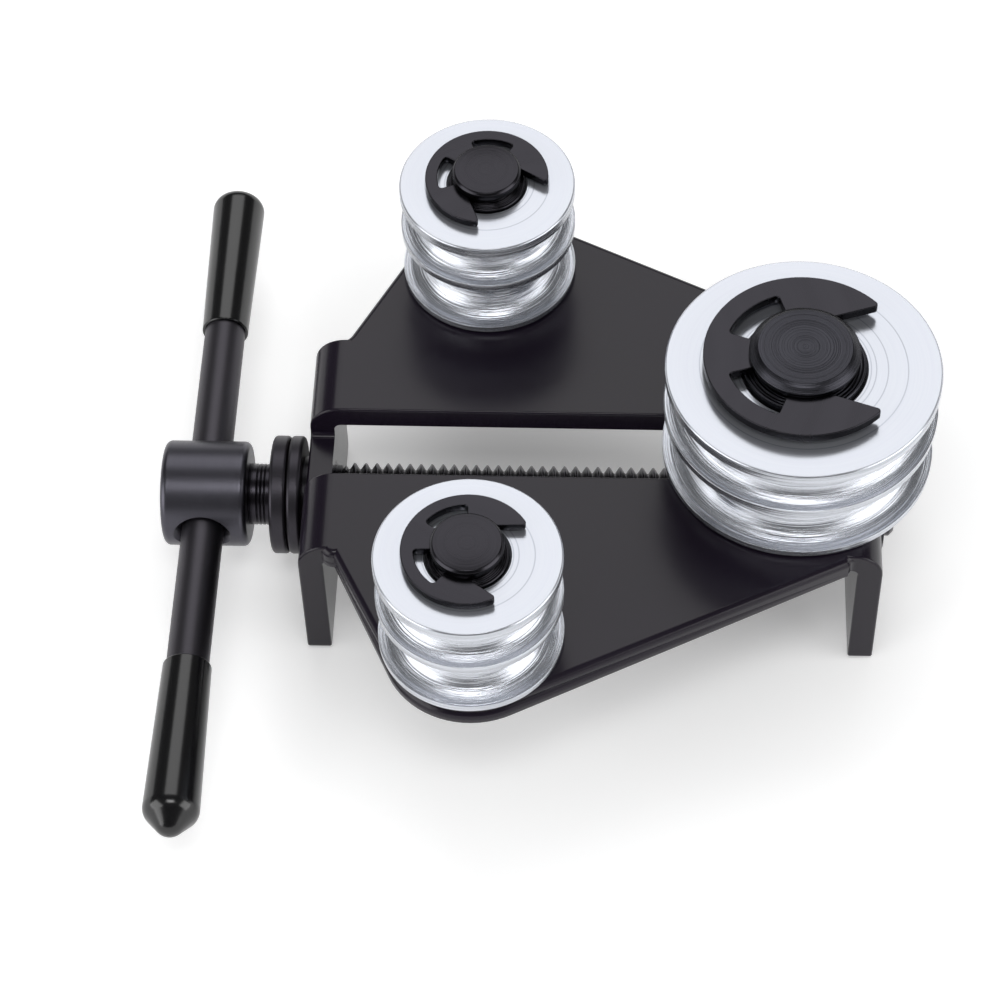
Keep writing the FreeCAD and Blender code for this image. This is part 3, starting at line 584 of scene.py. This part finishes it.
print("thread rule:", len(thread_sums), "sums")

# %% Thread from a rule
merge_distance = 0.002 * MM
thread_sizes = ("Length", "Crest Radius", "Depth", "Pitch", "Start", "Height")


def thread_tree():
    tree = bpy.data.node_groups.new("thread_rule", "GeometryNodeTree")
    for kind, words in (("Float", thread_sizes), ("Int", ("Rows", "Sides")),
                        ("Material", ("Finish",))):
        for word in words:
            tree.interface.new_socket(name=word, in_out="INPUT",
                                      socket_type="NodeSocket" + kind)
    tree.interface.new_socket(name="Geometry", in_out="OUTPUT",
                              socket_type="NodeSocketGeometry")

    given = add(tree, "NodeGroupInput")
    grid = add(tree, "GeometryNodeMeshGrid", {"Size X": 1.0, "Size Y": 1.0},
               {"Vertices X": (given, "Rows"), "Vertices Y": (given, "Sides")})
    spot = add(tree, "GeometryNodeInputPosition")
    part = add(tree, "ShaderNodeSeparateXYZ", links={0: (spot, "Position")})

    known = {word: (given, word) for word in thread_sizes}
    known.update({"grid X": (part, "X"), "grid Y": (part, "Y")})
    for name, operation, *taken in thread_sums:
        numbers = {slot: v for slot, v in enumerate(taken) if not isinstance(v, str)}
        joined = {slot: known[v] for slot, v in enumerate(taken) if isinstance(v, str)}
        known[name] = (add(tree, "ShaderNodeMath", numbers, joined, operation=operation),
                       "Value")

    place = add(tree, "ShaderNodeCombineXYZ",
                links={letter: known["place " + letter] for letter in "XYZ"})
    moved = add(tree, "GeometryNodeSetPosition",
                links={"Geometry": (grid, "Mesh"), "Position": (place, "Vector")})
    welded = add(tree, "GeometryNodeMergeByDistance", {"Distance": merge_distance},
                 {"Geometry": (moved, "Geometry")})
    real = add(tree, "GeometryNodeRealizeInstances", links={"Geometry": (welded, "Geometry")})
    painted = add(tree, "GeometryNodeSetMaterial",
                  links={"Geometry": (real, "Geometry"), "Material": (given, "Finish")})
    add(tree, "NodeGroupOutput", links={"Geometry": (painted, "Geometry")})
    return tree


thread_rule = thread_tree()
print("thread rule:", len(thread_rule.nodes), "nodes")

# %% [markdown]
# ## Growing the thread
# The rule's sizes are set on a modifier, and what it grows is frozen into a
# plain mesh. The pitch is that of a 3/8 inch rod with 16 threads to the inch,
# and the crests are the rod's own radius.

# %% Grow a thread and freeze it
smooth_angle = 40.0


def grown(name, finish, **sizes):
    thing = bpy.data.objects.new(name, bpy.data.meshes.new(name))
    bpy.context.scene.collection.objects.link(thing)
    rule = thing.modifiers.new("thread", "NODES")
    rule.node_group = thread_rule
    wanted = {word.replace("_", " "): value for word, value in sizes.items()}
    wanted["Finish"] = finish
    for item in thread_rule.interface.items_tree:
        if item.in_out == "INPUT":
            rule[item.identifier] = wanted[item.name]
    graph = bpy.context.evaluated_depsgraph_get()
    mesh = bpy.data.meshes.new_from_object(thing.evaluated_get(graph))
    thing.modifiers.clear()
    thing.data = mesh
    fixed = bmesh.new()
    fixed.from_mesh(mesh)
    bmesh.ops.recalc_face_normals(fixed, faces=fixed.faces)
    fixed.to_mesh(mesh)
    fixed.free()
    mesh.polygons.foreach_set("use_smooth", [True] * len(mesh.polygons))
    mesh.set_sharp_from_angle(angle=math.radians(smooth_angle))
    return thing


screw_z = 12.0
flange = 40.35  # outer faces of the two bent ends
axis_x = (0, 0, screw_z)
screw_finish = black_oxide("screw", axis_x, "X", 0.2, 0.1, "#323035", rough=0.22)
thread = grown("rolled_thread", screw_finish, Length=72.4 * MM, Crest_Radius=4.76 * MM,
               Depth=0.92 * MM, Pitch=1.5875 * MM, Start=(-flange + 4.5) * MM,
               Height=screw_z * MM, Rows=660, Sides=72)
settle(thread, "screw", "black_oxide", screw_finish)

# %% [markdown]
# ## The screw's plain ends
# Towards the head the rod is turned down to a neck with three fine grooves. At
# the far end a journal runs in the right-hand flange, a groove takes the clip
# and a chamfer ends the rod.

# %% Neck, core and journal
neck, neck_start, neck_end = 4.4, -flange - 8.75, -flange + 4.6
spigot, spigot_start = 3.5, neck_start - 2.4  # the rod's end inside the head
core = 3.7  # under the thread
journal_start = flange - 3.75
clip_seat, clip_start, clip_end = 3.6, flange + 0.05, flange + 1.2
rod_end, rod_chamfer = flange + 2.7, 0.6
line_start, line_spacing, line_half_width, line_depth = neck_start + 0.7, 0.55, 0.12, 0.14
shaft_edge = 0.04

rod = [(spigot_start, 0.0), (spigot_start, spigot), (neck_start, spigot), (neck_start, neck)]
for number in (1, 2, 3):
    middle = line_start + line_spacing * number
    rod += [(middle - line_half_width, neck), (middle, neck - line_depth),
            (middle + line_half_width, neck)]
rod += [(neck_end, neck), (neck_end, core), (journal_start, core), (journal_start, neck),
        (clip_start, neck), (clip_start, clip_seat), (clip_end, clip_seat), (clip_end, neck),
        (rod_end - rod_chamfer, neck), (rod_end, neck - rod_chamfer), (rod_end, 0.0)]
shaft = spun("turned_screw_shaft", rod, axis_x, shaft_edge, along="X")
settle(shaft, "screw", "black_oxide", screw_finish, "lead_screw")

# %% [markdown]
# ## Pieces that stay as measured
# The plate, head, discs, bar, grips and hidden pieces already have their true
# shape. They keep their own mesh and only take a finish. Head and bar are a
# little paler than the rest, as in the photograph.

# %% Finishes on the measured solids
bar_axis = (-55.45, 0, screw_z)


def finish_node(node, finish):
    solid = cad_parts[node]
    for slot in solid.material_slots:
        slot.material = finish
    print("%-16s takes %s" % (node, finish.name))


finish_node("base_plate", plate_finish)
finish_node("screw_head", black_oxide("head", axis_x, "X", 0.3, 0.08, "#504F56", rough=0.3))
for node, name in (("thrust_collar", "collar"), ("thrust_washer", "washer")):
    finish_node(node, black_oxide(name, axis_x, "X", 0.25, 0.1, "#3E3C41", rough=0.34))
finish_node("end_bush", black_oxide("bush", axis_x, "X", 0.25, 0.3, "#2A292C"))
finish_node("tommy_bar", black_oxide("bar", bar_axis, "Y", 0.2, 0.05, "#4B494E", rough=0.38))
for node in ("front_grip", "rear_grip"):
    finish_node(node, grip_finish)
for node, x, y in (("front_washer", fixed_x, -fixed_y), ("rear_washer", fixed_x, fixed_y),
                   ("forming_washer", forming_x, 0)):
    finish_node(node, black_oxide(node, (x, y, 0), spacing=0.3, marks=0.1, tone="#2E2D30"))
finish_node("pin_nuts", black_oxide("nuts", spacing=0.4, marks=0.1))
finish_node("carriage_block", black_oxide("block", spacing=0.5, marks=0.2, tone="#4A484D"))

# %% [markdown]
# ## The floor
# The photograph has a white background. The floor is a white matt surface that
# keeps the object's shadow, and for the camera and for shiny surfaces it adds
# some white light of its own. It adds less close to the object, where the
# lamps already light it and the shadow lies; this lower glow is painted shade
# that deepens the shadow under and around the object. It adds more far away,
# where the lamps no longer reach. Its rim turns up, so that low views end in white too.

# %% Floor
# Least glow under the object, rising outwards: painted shade that deepens the shadow there
shaded_floor_glow, near_full, near_reach = 0.17, 0.47, 0.08
far_glow, far_start, far_end = 0.55, 0.7, 1.7


def floor_finish():
    material, tree = finish_named("matt_white_studio_floor")
    ray = add(tree, "ShaderNodeLightPath")
    seen = add(tree, "ShaderNodeMath",
               links={0: (ray, "Is Camera Ray"), 1: (ray, "Is Glossy Ray")},
               operation="MAXIMUM")
    seen = add(tree, "ShaderNodeMath",
               links={0: (seen, "Value"), 1: (ray, "Is Transmission Ray")},
               operation="MAXIMUM")
    place = add(tree, "ShaderNodeTexCoord")
    apart = add(tree, "ShaderNodeVectorMath", links={0: (place, "Object")}, operation="LENGTH")
    # Painted shade: less glow close to the object, so the floor under and around it stays
    # darker
    near = add(tree, "ShaderNodeMapRange",
               {"From Min": 0.0, "From Max": near_reach, "To Min": shaded_floor_glow,
                "To Max": near_full},
               {"Value": (apart, "Value")}, interpolation_type="SMOOTHSTEP")
    far = add(tree, "ShaderNodeMapRange",
              {"From Min": far_start, "From Max": far_end, "To Min": 0.0, "To Max": far_glow},
              {"Value": (apart, "Value")})
    share = add(tree, "ShaderNodeMath", links={0: (near, "Result"), 1: (far, "Result")},
                operation="ADD")
    own = add(tree, "ShaderNodeMath", links={0: (seen, "Value"), 1: (share, "Value")},
              operation="MULTIPLY")
    matt = add(tree, "ShaderNodeBsdfDiffuse", {"Color": linear("#F4F4F4")})
    glow = add(tree, "ShaderNodeEmission", {"Color": (1, 1, 1, 1)},
               {"Strength": (own, "Value")})
    both = add(tree, "ShaderNodeAddShader", links={0: (matt, "BSDF"), 1: (glow, "Emission")})
    add(tree, "ShaderNodeOutputMaterial", links={"Surface": (both, "Shader")})
    return material


floor_steps = 72
floor_rings = [(2.4, -0.0005), (2.8, 0.06), (3.0, 0.24), (3.04, 0.62)]  # radius and height
degrees = 360 / floor_steps
rim = [(math.cos(math.radians(degrees * step)), math.sin(math.radians(degrees * step)))
       for step in range(floor_steps)]
spots = [(0.0, 0.0, floor_rings[0][1])]
spots += [(c * wide, s * wide, high) for wide, high in floor_rings for c, s in rim]
faces = [(0, 1 + step, 1 + (step + 1) % floor_steps) for step in range(floor_steps)]
for row in range(len(floor_rings) - 1):
    low = 1 + floor_steps * row
    top = low + floor_steps
    for step in range(floor_steps):
        after = (step + 1) % floor_steps
        faces.append((low + step, top + step, top + after, low + after))
floor_mesh = bpy.data.meshes.new("studio_floor")
floor_mesh.from_pydata(spots, [], faces)
floor_mesh.polygons.foreach_set("use_smooth", [True] * len(faces))
floor_mesh.materials.append(floor_finish())
floor = bpy.data.objects.new("studio_floor", floor_mesh)
bpy.context.scene.collection.objects.link(floor)
print("floor", 2 * floor_rings[-1][0], "m wide")

# %% [markdown]
# ## Lamps and surroundings
# The light is a soft studio: a large panel above and behind, which the roller
# tops mirror, a smaller one overhead and a little to the front, and two low
# ones at the left and the right. The world around them is dim and even.

# %% Lamps and surroundings
lit_point = (0.0, 0.0, 0.02)
studio_glow = 0.12


def panel(name, place, width, depth, watts):
    lamp = bpy.data.lights.new(name, "AREA")
    lamp.shape = "RECTANGLE"
    lamp.size = width
    lamp.size_y = depth
    lamp.energy = watts
    thing = bpy.data.objects.new(name, lamp)
    bpy.context.scene.collection.objects.link(thing)
    look = Vector(lit_point) - Vector(place)
    aimed = look.to_track_quat("-Z", "Y").to_matrix().to_4x4()
    thing.matrix_world = Matrix.Translation(place) @ aimed


def at(azimuth, height):
    # One metre away; azimuth counts from the front towards the right
    flat = math.cos(math.radians(height))
    turn = math.radians(azimuth)
    return (flat * math.sin(turn), -flat * math.cos(turn), math.sin(math.radians(height)))


panel("panel_behind", (-0.05, 0.75, 1.0), 0.9, 0.75, 4.0)
panel("panel_overhead", at(0, 69), 0.45, 0.25, 2.1)
panel("panel_left", at(-61, 24), 0.8, 0.62, 4.6)
panel("panel_right", at(69, 24), 0.8, 0.62, 4.6)

world = bpy.data.worlds.new("studio")
bpy.context.scene.world = world
world.use_nodes = True
tree = world.node_tree
tree.nodes.clear()
plain = add(tree, "ShaderNodeBackground", {"Color": (1, 1, 1, 1), "Strength": studio_glow})
add(tree, "ShaderNodeOutputWorld", links={"Surface": (plain, "Background")})
bpy.context.scene.view_settings.view_transform = "Standard"
